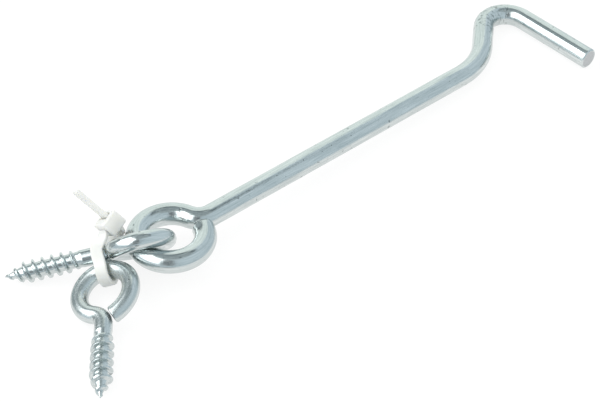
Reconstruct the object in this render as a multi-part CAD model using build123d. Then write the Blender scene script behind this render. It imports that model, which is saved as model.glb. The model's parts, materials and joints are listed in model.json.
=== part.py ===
from build123d import *
import os
from math import acos, asin, atan2, cos, degrees, radians, sin, sqrt

# A wire gate hook lying with its two screw eyes, one closed and one open, and the nylon tie that
# holds the eyes together. Millimetres and degrees. The hook's rod runs along +X and the floor is
# the lowest point, at Z = 0.

# Wires and the room that they leave each other where they link
hook_wire = 4.8
eye_wire = 3.7
hook_ring_play = 2.82
eye_ring_play = 1.4
cut_end_gap = 0.15
cut_end_chamfer = 0.3

# Hook: one wire bent in a plane, from its closed ring to the tip that drops into the open eye
hook_neck_bend = 4.0
rod_length = 82.2
crank_angle = 42.66
crank_bend = 17.1
crank_straight = 7.8
tip_angle = 129.88
tip_bend = 5.47
tip_straight = 20.35

# Screw eyes: both are bent and threaded alike, the closed one is longer, and one ring is sprung open
eye_neck_bend = 3.2
open_eye_reach = 26.0
open_thread_start = 10.7
closed_eye_reach = 28.6
closed_thread_start = 12.9
opening_start = 110.0
opening_end = 24.0
opening_spread = 1.0
thread_ramp = 2.5
thread_pitch = 2.0
thread_crest = 4.7
thread_root = 3.2
crest_land = 0.45
groove_floor = 0.9
groove_overshoot = 0.3
point_length = 4.5
point_width = 0.24

# How the loose pieces lie
ride_gap = 0.1
link_angle = 160.0
link_seat = -0.6
pivot_yaw = 148.2
pivot_lean = 54.0
catch_yaw = -128.1
catch_lean = 19.5
catch_bearing = 197.5
catch_gap = 0.25

# Nylon tie: a strap round the closed eye's shank and the open eye's wire, through its own head
strap_width = 2.5
strap_thickness = 0.9
strap_gap = 0.35
strap_slack = 0.2
strap_along_shank = 8.6
strap_lean = 0.8
strap_wrap_step = 30
strap_bite = 0.4
tie_head_width = 5.0
tie_head_height = 4.2
tie_head_depth = 3.7
tie_head_fillet = 0.5
tie_tail = 8.2
tie_window_offset = 0.45
tie_head_along = 5.0
tie_head_front = 1.2
tie_head_rise = 5.6
tie_slot = (0.51, 0.52, 0.69)
tie_across = (-0.53, 0.82, -0.22)

# Radii that follow from them
hook_r = hook_wire / 2
eye_r = eye_wire / 2
hook_ring = eye_r + hook_ring_play + hook_r
eye_ring = hook_r + eye_ring_play + eye_r


def bent_path(start, heading, steps):
    """Planar wire centreline: each step is a straight length or a (radius, turn) bend."""
    edges = []
    point = Vector(*start)
    direction = Vector(*heading)
    for step in steps:
        if isinstance(step, tuple):
            edge = JernArc(point, direction, step[0], step[1])
        else:
            edge = Line(point, point + direction * step)
        edges.append(edge)
        point = edge @ 1
        direction = edge % 1
    return Wire(edges)


def round_wire(path, diameter):
    """Round wire along a centreline."""
    section = Plane(path @ 0, z_dir=path % 0) * Circle(diameter / 2)
    return sweep(section, path=path)


def ring_end_angle(wire_radius, ring_radius):
    """Angle at which a ring's cut end stops beside its own neck."""
    return degrees(asin((wire_radius + cut_end_gap) / (ring_radius + wire_radius)))


def neck_numbers(ring_radius, neck_bend):
    """Where the neck bend ends on the shank's line, and its angle on the ring."""
    end = sqrt(ring_radius**2 + 2 * ring_radius * neck_bend)
    return end, degrees(atan2(neck_bend, end))


# Hook: the ring runs clockwise from its cut end round to the neck
hook_neck_end, hook_neck_angle = neck_numbers(hook_ring, hook_neck_bend)
hook_end_angle = ring_end_angle(hook_r, hook_ring)
hook_path = bent_path(
    (hook_ring * cos(radians(hook_end_angle)), -hook_ring * sin(radians(hook_end_angle))),
    (-sin(radians(hook_end_angle)), -cos(radians(hook_end_angle))),
    [
        (hook_ring, hook_end_angle + hook_neck_angle - 360),
        (hook_neck_bend, 90 - hook_neck_angle),
        rod_length - hook_neck_end,
        (crank_bend, crank_angle),
        crank_straight,
        (tip_bend, -tip_angle),
        tip_straight,
    ],
)
hook = round_wire(hook_path, hook_wire)
hook = chamfer(hook.faces().filter_by(GeomType.PLANE).edges(), cut_end_chamfer)

# Screw eye wires: the ring runs anticlockwise from its cut end round to the neck
eye_neck_end, eye_neck_angle = neck_numbers(eye_ring, eye_neck_bend)
eye_end_angle = ring_end_angle(eye_r, eye_ring)


def screw_joint(thread_start):
    """Where the bent wire hands over to the threaded end."""
    return thread_start - thread_pitch / 2


def neck_steps(thread_start):
    """Last steps of an eye's wire: its neck bend and its straight shank."""
    return [(eye_neck_bend, eye_neck_angle - 90), screw_joint(thread_start) - eye_neck_end]


def ring_point(centre, radius, angle):
    """Point at an angle on a circle in the ring's plane."""
    return (centre[0] + radius * cos(radians(angle)), centre[1] + radius * sin(radians(angle)))


def anticlockwise(angle):
    """Heading of an anticlockwise walk round a circle."""
    return (-sin(radians(angle)), cos(radians(angle)))


closed_path = bent_path(
    ring_point((0, 0), eye_ring, eye_end_angle),
    anticlockwise(eye_end_angle),
    [(eye_ring, 360 - eye_neck_angle - eye_end_angle)] + neck_steps(closed_thread_start),
)
opening_ring = eye_ring + opening_spread
opening_centre = ring_point((0, 0), -opening_spread, opening_start)
open_path = bent_path(
    ring_point(opening_centre, opening_ring, opening_end),
    anticlockwise(opening_end),
    [
        (opening_ring, opening_start - opening_end),
        (eye_ring, 360 - eye_neck_angle - opening_start),
    ]
    + neck_steps(open_thread_start),
)


def screw_end(thread_start, reach):
    """Threaded end of a screw eye, from the smooth shank to its gimlet point."""
    crest = thread_crest / 2
    root = thread_root / 2
    joint = screw_joint(thread_start)
    blank = Polyline(
        (joint, 0),
        (joint, eye_r),
        (thread_start, eye_r),
        (thread_start + thread_ramp, crest),
        (reach - point_length, crest),
        (reach, point_width / 2),
        (reach, 0),
        (joint, 0),
    )
    # The blank's seam stands above the axis, where the groove starts, because elsewhere the cut fails
    screw = Rot(90, 0, 0) * revolve(make_face(blank), axis=Axis.X)
    floor_half = groove_floor / 2
    wall_slope = ((thread_pitch - crest_land) / 2 - floor_half) / (crest - root)
    outer = crest + groove_overshoot
    outer_half = floor_half + wall_slope * (outer - root)
    groove_start = Vector(thread_start + outer_half - floor_half, 0, 0)
    turns = Helix(
        pitch=thread_pitch,
        height=reach - thread_start + floor_half,
        radius=root,
        center=groove_start,
        direction=(1, 0, 0),
    )
    outward = (turns @ 0 - groove_start).normalized()
    groove_plane = Plane(groove_start, x_dir=(1, 0, 0), z_dir=Vector(1, 0, 0).cross(outward))
    groove = make_face(
        Polyline(
            (-floor_half, root),
            (-outer_half, outer),
            (outer_half, outer),
            (floor_half, root),
            (-floor_half, root),
        )
    )
    return screw - sweep(groove_plane * groove, path=turns, is_frenet=True)


def screw_eye(path, thread_start, reach):
    """Screw eye in its own frame: ring in the XY plane at the origin, point along +X."""
    wire = round_wire(path, eye_wire)
    ring_cut = wire.faces().filter_by(GeomType.PLANE).sort_by(Axis.X)[0]
    wire = chamfer(ring_cut.edges(), cut_end_chamfer)
    return wire + screw_end(thread_start, reach)


# Poses: an eye lies with its ring's rim and the end of its full thread on the floor


def turned(yaw, dip, lean):
    """Plane at the origin, yawed, then dipped, then leaned about its own X."""
    return Plane(Rot(0, 0, yaw) * Rot(0, dip, 0) * Rot(lean, 0, 0))


def lying_eye(yaw, lean, reach):
    """Plane of an eye lying at the origin, with its ring centre at its true height."""
    dip = 0.0
    thread_reach = reach - point_length
    for step in range(40):
        frame = turned(yaw, dip, lean)
        height = eye_r + eye_ring * sqrt(1 - frame.z_dir.Z**2)
        dip = degrees(asin((height - thread_crest / 2 * cos(radians(dip))) / thread_reach))
    return Plane((0, 0, height), x_dir=frame.x_dir, z_dir=frame.z_dir)


def moved_to(frame, x, y):
    """The same plane over another place on the floor."""
    return Plane((x, y, frame.origin.Z), x_dir=frame.x_dir, z_dir=frame.z_dir)


def eye_lines(path, frame, thread_start, reach):
    """Centrelines of an eye in its place, each with its radius."""
    screw_line = Edge.make_line((thread_start + thread_ramp, 0, 0), (reach, 0, 0))
    return [(frame.location * path, eye_r), (frame.location * screw_line, thread_crest / 2)]


def smallest_gap(lines, others):
    """Smallest room between two sets of round wires."""
    return min(a.distance_to(b) - ra - rb for a, ra in lines for b, rb in others)


# The hook rests on its far bend, and its ring rides over the wire of the closed eye
hook_height = eye_wire + ride_gap + hook_r
hook_dip = degrees(asin((hook_height - hook_r) / hook_path.bounding_box().max.X))
hook_frame = Plane(Location((0, 0, hook_height), (0, hook_dip, 0)))

# The closed eye hangs in the hook's ring
link_radius = hook_ring + link_seat
pivot_frame = moved_to(
    lying_eye(pivot_yaw, pivot_lean, closed_eye_reach),
    link_radius * cos(radians(link_angle)),
    link_radius * sin(radians(link_angle)),
)
pivot_lines = eye_lines(closed_path, pivot_frame, closed_thread_start, closed_eye_reach)

# The open eye lies against the closed one: it slides in along its bearing until they nearly touch
catch_rest = lying_eye(catch_yaw, catch_lean, open_eye_reach)


def catch_at(distance):
    """Plane of the open eye at a distance from the closed eye's ring centre."""
    return moved_to(
        catch_rest,
        pivot_frame.origin.X + distance * cos(radians(catch_bearing)),
        pivot_frame.origin.Y + distance * sin(radians(catch_bearing)),
    )


near = eye_ring
far = 4 * eye_ring
for step in range(24):
    middle = (near + far) / 2
    catch_lines = eye_lines(open_path, catch_at(middle), open_thread_start, open_eye_reach)
    if smallest_gap(catch_lines, pivot_lines) < catch_gap:
        near = middle
    else:
        far = middle
catch_frame = catch_at(far)

# Tie, worked out in the closed eye's frame: X along its shank, Y up towards the open side
strap_stand = eye_r + strap_gap + strap_thickness / 2


def wire_crossing(along):
    """Where the open eye's ring crosses a plane square to the shank, and its direction there."""
    across_x = catch_frame.x_dir.dot(pivot_frame.x_dir)
    across_y = catch_frame.y_dir.dot(pivot_frame.x_dir)
    ahead = along - (catch_frame.origin - pivot_frame.origin).dot(pivot_frame.x_dir)
    swing = degrees(acos(ahead / (eye_ring * sqrt(across_x**2 + across_y**2))))
    middle_angle = degrees(atan2(across_y, across_x))
    crossings = []
    for angle in (middle_angle - swing, middle_angle + swing):
        place = catch_frame.from_local_coords(Vector(*ring_point((0, 0), eye_ring, angle)))
        beyond = catch_frame.from_local_coords(
            Vector(*ring_point((0, 0), eye_ring, angle)) + Vector(*anticlockwise(angle))
        )
        here = pivot_frame.to_local_coords(place)
        heading = pivot_frame.to_local_coords(beyond) - here
        if heading.X < 0:
            heading = -heading
        crossings.append((here, heading.normalized()))
    return min(crossings, key=lambda pair: sqrt(pair[0].Y**2 + pair[0].Z**2))


shank_axis = Vector(1, 0, 0)
shank_centre = Vector(strap_along_shank, 0, 0)
wire_centre, wire_heading = wire_crossing(strap_along_shank - strap_lean)
downward = (wire_centre - shank_centre).normalized()
head_centre = Vector(tie_head_along, tie_head_front, tie_head_rise)
head_frame = Plane(head_centre, x_dir=tie_slot, z_dir=Vector(*tie_slot).cross(Vector(*tie_across)))
slot = head_frame.x_dir
broad = -head_frame.y_dir
root = -head_frame.z_dir
window_centre = head_centre - root * tie_window_offset


def strap(stations):
    """Flat strap through its stations, each a point and the direction of the strap's width."""
    sections = []
    last = len(stations) - 1
    for i, (point, width) in enumerate(stations):
        tangent = stations[min(i + 1, last)][0] - stations[max(i - 1, 0)][0]
        square = width - tangent * (width.dot(tangent) / tangent.dot(tangent))
        section = Plane(point, x_dir=square, z_dir=tangent)
        sections.append(section * Rectangle(strap_width, strap_thickness))
    return loft(sections, ruled=True)


def about(centre, axis, angle, slack):
    """Place beside a wire, turned about it from its front towards its underside."""
    side = (downward - axis * downward.dot(axis)).normalized()
    front = axis.cross(side).normalized()
    return centre + (front * cos(radians(angle)) + side * sin(radians(angle))) * (strap_stand + slack)


def beside_shank(back, up, out):
    """Point near the shank, in strap stands from the place where the strap goes round it."""
    return Vector(strap_along_shank - back * strap_stand, up * strap_stand, out * strap_stand)


root_face = head_centre + root * (tie_head_height / 2)
strap_route = [
    (root_face - root * strap_bite, broad),
    (root_face + root * strap_bite, broad),
    (beside_shank(0.6, 0.9, 1.1), Vector(0.85, -0.45, 0.25)),
    (about(shank_centre, shank_axis, 0, 0), shank_axis),
]
for angle in range(0, 181, strap_wrap_step):
    strap_route.append((about(wire_centre, wire_heading, angle, strap_slack), wire_heading))
window_entry = window_centre - slot * (tie_head_depth / 2)
window_exit = window_centre + slot * (tie_head_depth / 2)
strap_route += [
    (about(shank_centre, shank_axis, 180, strap_slack), shank_axis),
    (about(shank_centre, shank_axis, 180 + strap_wrap_step, 2 * strap_slack), shank_axis),
    (beside_shank(0.6, -1.2, 1.1), Vector(0.85, -0.3, 0.3)),
    (beside_shank(1.25, -1.06, 1.4), Vector(0.75, -0.5, 0.25)),
    (beside_shank(1.65, -0.68, 1.5), Vector(0.6, -0.75, 0.25)),
    (window_entry - slot * strap_bite, broad),
    (window_entry + slot * strap_bite, broad),
]
tail = [(window_exit - slot * strap_bite, broad), (window_exit + slot * tie_tail, broad)]
tie_head = fillet(Box(tie_head_depth, tie_head_width, tie_head_height).edges(), tie_head_fillet)
tie = head_frame.location * tie_head + strap(strap_route) + strap(tail)

nodes = {
    "hook": hook_frame.location * hook,
    "pivot_eye": pivot_frame.location * screw_eye(closed_path, closed_thread_start, closed_eye_reach),
    "catch_eye": catch_frame.location * screw_eye(open_path, open_thread_start, open_eye_reach),
    "cable_tie": pivot_frame.location * tie,
}
box = Compound(children=[Part(part.wrapped) for part in nodes.values()]).bounding_box()
shift = Pos(-(box.min.X + box.max.X) / 2, -(box.min.Y + box.max.Y) / 2, -box.min.Z)
os.makedirs("parts", exist_ok=True)
for name, part in nodes.items():
    export_step(shift * part, f"parts/{name}.step")
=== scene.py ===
import json
import math

import bmesh
import bpy
from mathutils import Matrix, Vector


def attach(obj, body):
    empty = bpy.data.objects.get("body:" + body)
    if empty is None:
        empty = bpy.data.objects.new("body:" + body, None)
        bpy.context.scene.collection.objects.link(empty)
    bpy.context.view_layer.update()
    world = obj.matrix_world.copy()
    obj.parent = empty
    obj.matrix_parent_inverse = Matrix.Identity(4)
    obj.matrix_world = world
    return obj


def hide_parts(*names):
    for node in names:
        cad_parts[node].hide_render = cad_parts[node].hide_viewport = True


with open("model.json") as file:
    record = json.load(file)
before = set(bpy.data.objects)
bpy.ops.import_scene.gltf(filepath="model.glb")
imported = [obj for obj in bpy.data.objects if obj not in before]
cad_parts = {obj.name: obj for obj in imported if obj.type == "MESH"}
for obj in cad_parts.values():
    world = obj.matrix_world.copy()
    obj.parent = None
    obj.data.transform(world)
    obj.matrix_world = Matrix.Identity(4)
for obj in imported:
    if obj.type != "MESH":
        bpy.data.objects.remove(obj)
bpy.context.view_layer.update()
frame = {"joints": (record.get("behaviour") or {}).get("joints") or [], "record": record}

# A bright zinc wire gate hook with its closed and open screw eyes, and the nylon tie that holds the
# eyes together. Shapes are worked out in millimetres and put in place in metres.

MM = 0.001

# Wires: diameters, the rings' radii to the middle of the wire, cut ends and unevenness
HOOK_WIRE = 4.8
EYE_WIRE = 3.7
HOOK_RING = 7.07
EYE_RING = 5.65
CUT_END_GAP = 0.15
CUT_END_ROUND = 0.3
CUT_FACE_FROM = 0.001
WAVINESS = 0.06
WAVE_LENGTH = 6.0
WAVE_DETAIL = 1.5

# Hook, bent in a plane from its ring to its tip: bend radii, straight lengths, and angles in degrees
HOOK_NECK_BEND = 4.0
ROD_LENGTH = 82.2
CRANK_ANGLE = 42.66
CRANK_BEND = 17.1
CRANK_STRAIGHT = 7.8
TIP_ANGLE = 129.88
TIP_BEND = 5.47
TIP_STRAIGHT = 20.35
TOOL_MARKS_BEFORE_BEND = 3.0
TOOL_MARKS_SHORT_OF_BEND_END = 4.0

# Screw eyes: lengths from the ring's centre, thread diameters, and angles in degrees
EYE_NECK_BEND = 3.2
OPEN_EYE_REACH = 26.0
OPEN_THREAD_START = 10.7
CLOSED_EYE_REACH = 28.6
CLOSED_THREAD_START = 12.9
OPENING_START = 110.0
OPENING_END = 24.0
OPENING_SPREAD = 1.0
THREAD_RAMP = 2.5
THREAD_PITCH = 2.0
THREAD_CREST = 4.7
THREAD_ROOT = 3.2
CREST_LAND = 0.3
GROOVE_FLOOR = 0.9
GROOVE_LEAD = 0.45
POINT_LENGTH = 4.5
CREST_TAPER = 0.8
CORE_TAPER = 0.9
PIVOT_LEAN = 54.0
CATCH_LEAN = 19.5
SCREW_MOUNT_ALONG = 18.0

# Nylon tie, in the closed eye's frame: X along its shank, Z square to its ring
STRAP_WIDTH = 2.5
STRAP_THICKNESS = 0.9
STRAP_CORNER = 0.2
STRAP_GAP = 0.35
STRAP_SLACK = 0.2
STRAP_ALONG_SHANK = 8.6
STRAP_LEAN = 0.8
STRAP_WRAP_STEP = 30
STRAP_BITE = 0.4
HEAD_WIDTH = 5.0
HEAD_HEIGHT = 4.2
HEAD_DEPTH = 3.7
HEAD_ROUND = 0.45
WINDOW_WIDTH = 3.0
WINDOW_HEIGHT = 1.7
WINDOW_ROUND = 0.15
WINDOW_OFFSET = 0.45
TAIL_LENGTH = 8.2
HEAD_PLACE = (5.0, 1.2, 5.6)
SLOT_HEADING = (0.51, 0.52, 0.69)
ACROSS_HEADING = (-0.53, 0.82, -0.22)
TOOTH_PITCH = 0.7
TOOTH_DEPTH = 0.16
TOOTH_BAND = 0.85
INNER_FACE_SHARE = 0.45

# Mesh fineness. Round the strap's outline the last place is just short of the first, and straight above
# the shank is three quarters of the way round the sheet that is rolled up into a wire.
POINT_SPACING = 0.5
RING_PLACES = 1440
ROW_LENGTH = 0.2
HOOK_SIDES = 56
EYE_SIDES = 56
ROWS_PER_TURN = 26.0
STRAP_ROW = 0.1
STRAP_SIDES = 44
CORNER_POINTS = 3
LAST_PLACE_ROUND = 0.99999
ABOVE_SHARE = 0.75
HEAD_ROUND_STEPS = 5
WINDOW_ROUND_STEPS = 2
MERGE_DISTANCE = 0.03
SHARP_RIM_ANGLE = 32.0

# Zinc plate: colours, the roughness of its smooth and dull spots, and how strongly each mark shows
ZINC_BRIGHT = (0.70, 0.74, 0.735, 1.0)
ZINC_SHADE = (0.50, 0.55, 0.55, 1.0)
ZINC_SCUFF = (0.33, 0.37, 0.37, 1.0)
ZINC_CUT = (0.50, 0.52, 0.53, 1.0)
ZINC_PIT = (0.16, 0.19, 0.19, 1.0)
SMOOTH_PLATE = (0.12, 0.20)
SATIN_PLATE = (0.20, 0.30)
SCUFF_STRENGTH = 0.3
PIT_STRENGTH = 0.6
CUT_DULLNESS = 0.2

# Streaks and mottle on the wire: their sizes, how far their noise is stretched, its detail and roughness,
# and the noise values between which they run
STREAK_LENGTH = 5.0
FINE_STREAK_SHARE = 0.6
FINE_STREAK_NOISE = (3.0, 0.6)
BROAD_STREAK_STRETCH = (0.35, 0.3, 0.3)
BROAD_STREAK_NOISE = (2.0, 0.5)
STREAK_RANGE = (0.35, 0.65)
MOTTLE_SIZE = 0.7
MOTTLE_STRETCH = (0.55, 1.0, 1.0)
MOTTLE_NOISE = (3.0, 0.55)
MOTTLE_RANGE = (0.3, 0.7)
RELIEF_PART = 0.5

# Blots on the wire: stretch, scale, detail and roughness of the noise, and the values where a blot fades in
SCUFFS = ((1.3, 2.2, 2.2), 0.9, 2.0, 0.7, (0.60, 0.72))
PITS = ((0.8, 1.0, 1.0), 1.1, 1.0, 0.4, (0.735, 0.765))
TOOL_MARKS = ((1.0, 0.7, 0.7), 1.5, 2.0, 0.6, (0.54, 0.62))

# Nylon: colours, roughness, its clouds and grain, and how light passes into it, in millimetres
NYLON_PALE = (0.87, 0.88, 0.86, 1.0)
NYLON_SHADE = (0.83, 0.84, 0.81, 1.0)
NYLON_GLOSS = (0.34, 0.46)
NYLON_GLOSS_RANGE = (0.3, 0.7)
NYLON_CLOUD_SCALE = 220.0
NYLON_CLOUD_NOISE = (3.0, 0.6)
NYLON_CLOUD_RANGE = (0.35, 0.65)
NYLON_GRAIN_SCALE = 900.0
NYLON_GRAIN_DEPTH = 0.02
NYLON_LIGHT_SHARE = 0.6
NYLON_LIGHT_TINT = (1.0, 0.95, 0.85)
NYLON_LIGHT_DEPTH = 1.2

# Floor and lamp, in metres and watts
FLOOR_HALF = 3.0
FLOOR_BOUNCE = 0.8
FLOOR_GLOW = 0.84
FLOOR_LIT_SHARE = 0.2
FLOOR_SHEEN = 0.95
FLOOR_SHEEN_ROUGHNESS = 0.12
FLOOR_SHEEN_FACING = (0.62, 0.92)
LAMP_PLACE = (-0.30, 0.32, 0.42)
LAMP_SIDE = 0.36
LAMP_WATTS = 0.7

# Surroundings that the metal shows: colours, and the clutter that mottles the ceiling and camera side
WHITE = (1.0, 1.0, 1.0, 1.0)
ROOM_LIGHT = (1.0, 1.01, 1.0, 1.0)
ROOM_WALL = (0.66, 0.76, 0.82, 1.0)
BACKDROP = (1.02, 1.10, 1.07, 1.0)
SOFTBOX = (2.4, 2.45, 2.45, 1.0)
CEILING_DARK = (0.25, 0.30, 0.32, 1.0)
CEILING_LIGHT = (0.52, 0.59, 0.61, 1.0)
CEILING_RIM = (0.09, 0.12, 0.13, 1.0)
CAMERA_DARK = (0.10, 0.12, 0.13, 1.0)
CAMERA_LIGHT = (0.52, 0.56, 0.58, 1.0)
CLUTTER_SCALE = 9.0
CLUTTER_NOISE = (2.0, 0.6)
CLUTTER_RANGE = (0.42, 0.58)

# The ceiling's edge is a great circle, highest at this compass angle and height in degrees. The widths
# and softnesses are shares of a unit direction.
CEILING_EDGE_COMPASS = 12.0
CEILING_EDGE_HEIGHT = 61.0
CEILING_RIM_COMPASS = 55.0
CEILING_RIM_WIDTH = 0.08
CEILING_SOFTNESS = 0.03
RIM_SIDE_SOFTNESS = 0.1
OVERHEAD_SOFTNESS = 0.015

# Compass angle, height, half width, half height and softness of each panel, in degrees
BACKDROP_PANEL = (80.0, 15.0, 50.0, 46.0, 2.0)
SOFTBOX_PANEL = (165.0, 43.0, 40.0, 27.0, 4.0)
CAMERA_PANEL = (-134.0, 40.0, 15.0, 32.0, 8.0)

# Camera: its place from the hook ring's centre, its direction in degrees, and its lens
CAMERA_FROM_RING = (-137.85, -209.68, 254.64)
CAMERA_AZIMUTH = -39.403
CAMERA_ELEVATION = 44.468
CAMERA_ROLL = -1.16
LENS = 104.4
SENSOR = 36.0
CLIP_START = 0.01


class Tree:
    """Adds nodes to a node tree. A plain value is set on a socket, and a socket is linked to it."""

    def __init__(self, tree):
        self.tree = tree

    def add(self, kind, values=None, **settings):
        node = self.tree.nodes.new(kind)
        for name, value in settings.items():
            setattr(node, name, value)
        for name, value in (values or {}).items():
            self.feed(node.inputs[name], value)
        return node

    def feed(self, socket, value):
        if isinstance(value, bpy.types.NodeSocket):
            self.tree.links.new(value, socket)
        else:
            socket.default_value = value

    def math(self, operation, *values):
        return self.add("ShaderNodeMath", dict(enumerate(values)), operation=operation).outputs[0]

    def vector(self, operation, *values):
        return self.add("ShaderNodeVectorMath", dict(enumerate(values)), operation=operation).outputs[0]

    def scaled(self, vector, scale):
        node = self.add("ShaderNodeVectorMath", {0: vector, "Scale": scale}, operation="SCALE")
        return node.outputs[0]

    def limit(self, value, low, high):
        return self.add("ShaderNodeClamp", {"Value": value, "Min": low, "Max": high}).outputs[0]

    def ramp(self, value, start, end, low=0.0, high=1.0, ease="LINEAR"):
        values = {"Value": value, "From Min": start, "From Max": end, "To Min": low, "To Max": high}
        return self.add("ShaderNodeMapRange", values, interpolation_type=ease).outputs[0]

    def join_xyz(self, x, y, z):
        return self.add("ShaderNodeCombineXYZ", {"X": x, "Y": y, "Z": z}).outputs[0]

    def noise(self, place, scale, detail=2.0, roughness=0.5):
        values = {"Vector": place, "Scale": scale, "Detail": detail, "Roughness": roughness}
        return self.add("ShaderNodeTexNoise", values).outputs[0]

    def store(self, geometry, name, value, kind):
        values = {"Geometry": geometry, "Name": name}
        node = self.add("GeometryNodeStoreNamedAttribute", values, data_type=kind)
        self.feed(node.inputs["Value"], value)
        return node.outputs[0]


def new_tree(name, kind, inputs, outputs):
    """Empty node group with named sockets; gives the helper, its input sockets and its output node."""
    tree = bpy.data.node_groups.new(name, kind)
    for label, socket_kind in inputs:
        tree.interface.new_socket(label, in_out="INPUT", socket_type="NodeSocket" + socket_kind)
    for label, socket_kind in outputs:
        tree.interface.new_socket(label, in_out="OUTPUT", socket_type="NodeSocket" + socket_kind)
    nodes = Tree(tree)
    return nodes, nodes.add("NodeGroupInput").outputs, nodes.add("NodeGroupOutput")


def grid(nodes, length, rows, sides, start):
    """Flat sheet to be rolled up: gives its mesh, the place along it and the angle round it."""
    columns = nodes.math("ADD", sides, 1)
    values = {"Size X": length, "Size Y": math.tau, "Vertices X": rows, "Vertices Y": columns}
    mesh = nodes.add("GeometryNodeMeshGrid", values).outputs["Mesh"]
    position = nodes.add("GeometryNodeInputPosition").outputs[0]
    place = nodes.add("ShaderNodeSeparateXYZ", {"Vector": position})
    half = nodes.math("MULTIPLY", length, 0.5)
    along = nodes.math("ADD", nodes.math("ADD", place.outputs["X"], half), start)
    return mesh, along, place.outputs["Y"]


def closed_skin(nodes, skin, material):
    """Last nodes of a tree that rolls up a sheet: seams merged, smooth with sharp rims, a material."""
    values = {"Geometry": skin, "Distance": MERGE_DISTANCE}
    merged = nodes.add("GeometryNodeMergeByDistance", values).outputs[0]
    edge_angle = nodes.add("GeometryNodeInputMeshEdgeAngle").outputs["Unsigned Angle"]
    smooth = nodes.math("LESS_THAN", edge_angle, math.radians(SHARP_RIM_ANGLE))
    values = {"Geometry": merged, "Shade Smooth": smooth}
    shaded = nodes.add("GeometryNodeSetShadeSmooth", values, domain="EDGE").outputs[0]
    real = nodes.add("GeometryNodeRealizeInstances", {"Geometry": shaded}).outputs[0]
    return nodes.add("GeometryNodeSetMaterial", {"Geometry": real, "Material": material}).outputs[0]


def wire_skin_group():
    """Round wire along a flat path, with a flat cut end at its start and, if asked, at its end."""
    inputs = [
        ("Path", "Geometry"), ("Wire Radius", "Float"), ("Row Length", "Float"), ("Sides", "Int"),
        ("Cut Round", "Float"), ("End Cap", "Float"), ("Waviness", "Float"), ("Wave Length", "Float"),
    ]
    nodes, given, result = new_tree("wire_skin", "GeometryNodeTree", inputs, [("Skin", "Geometry")])
    curve = nodes.add("GeometryNodeMeshToCurve", {"Mesh": given["Path"]}).outputs[0]
    length = nodes.add("GeometryNodeCurveLength", {"Curve": curve}).outputs[0]
    radius = given["Wire Radius"]
    end_cap = nodes.math("MULTIPLY", radius, given["End Cap"])
    total = nodes.math("ADD", nodes.math("ADD", length, radius), end_cap)
    rows = nodes.math("CEIL", nodes.math("DIVIDE", total, given["Row Length"]))
    mesh, along, angle = grid(nodes, total, rows, given["Sides"], nodes.math("MULTIPLY", radius, -1.0))
    on_wire = nodes.limit(along, 0.0, length)
    past_start = nodes.math("MULTIPLY", along, -1.0)
    past_end = nodes.math("SUBTRACT", along, length)
    past = nodes.math("MAXIMUM", nodes.math("MAXIMUM", past_start, past_end), 0.0)
    to_middle = nodes.math("SUBTRACT", 1.0, nodes.math("DIVIDE", past, radius))
    inside = nodes.math("MAXIMUM", to_middle, 0.0)
    from_end = nodes.math("SUBTRACT", length, on_wire)
    open_end = nodes.math("MULTIPLY", nodes.math("SUBTRACT", 1.0, given["End Cap"]), length)
    to_cut = nodes.math("MINIMUM", on_wire, nodes.math("ADD", from_end, open_end))
    from_cut = nodes.limit(nodes.math("DIVIDE", to_cut, given["Cut Round"]), 0.0, 1.0)
    share = nodes.math("SUBTRACT", 1.0, from_cut)
    rest = nodes.math("SUBTRACT", 1.0, nodes.math("POWER", share, 2.0))
    fall = nodes.math("SUBTRACT", 1.0, nodes.math("SQRT", rest))
    rounded = nodes.math("SUBTRACT", radius, nodes.math("MULTIPLY", fall, given["Cut Round"]))
    sample = nodes.add("GeometryNodeSampleCurve", {"Curves": curve, "Length": on_wire}, mode="LENGTH")
    side = nodes.vector("CROSS_PRODUCT", (0.0, 0.0, 1.0), sample.outputs["Tangent"])
    side = nodes.vector("NORMALIZE", side)
    cosine = nodes.math("COSINE", angle)
    sine = nodes.math("SINE", angle)
    outward = nodes.vector("ADD", nodes.scaled(side, cosine), nodes.join_xyz(0.0, 0.0, sine))
    wave_across = nodes.math("MULTIPLY", cosine, radius)
    wave_above = nodes.math("MULTIPLY", sine, radius)
    wave_place = nodes.join_xyz(along, wave_across, wave_above)
    wave_scale = nodes.math("DIVIDE", 1.0, given["Wave Length"])
    wave = nodes.math("SUBTRACT", nodes.noise(wave_place, wave_scale, WAVE_DETAIL), 0.5)
    reach = nodes.math("ADD", rounded, nodes.math("MULTIPLY", wave, given["Waviness"]))
    reach = nodes.math("MULTIPLY", reach, inside)
    place = nodes.vector("ADD", sample.outputs["Position"], nodes.scaled(outward, reach))
    across = nodes.math("MULTIPLY", cosine, reach)
    above = nodes.math("MULTIPLY", sine, reach)
    skin = nodes.store(mesh, "wire_place", nodes.join_xyz(along, across, above), "FLOAT_VECTOR")
    on_cut = nodes.math("GREATER_THAN", past, CUT_FACE_FROM)
    skin = nodes.store(skin, "cut_face", on_cut, "FLOAT")
    skin = nodes.add("GeometryNodeSetPosition", {"Geometry": skin, "Position": place}).outputs[0]
    nodes.feed(result.inputs["Skin"], skin)
    return nodes.tree


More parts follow.
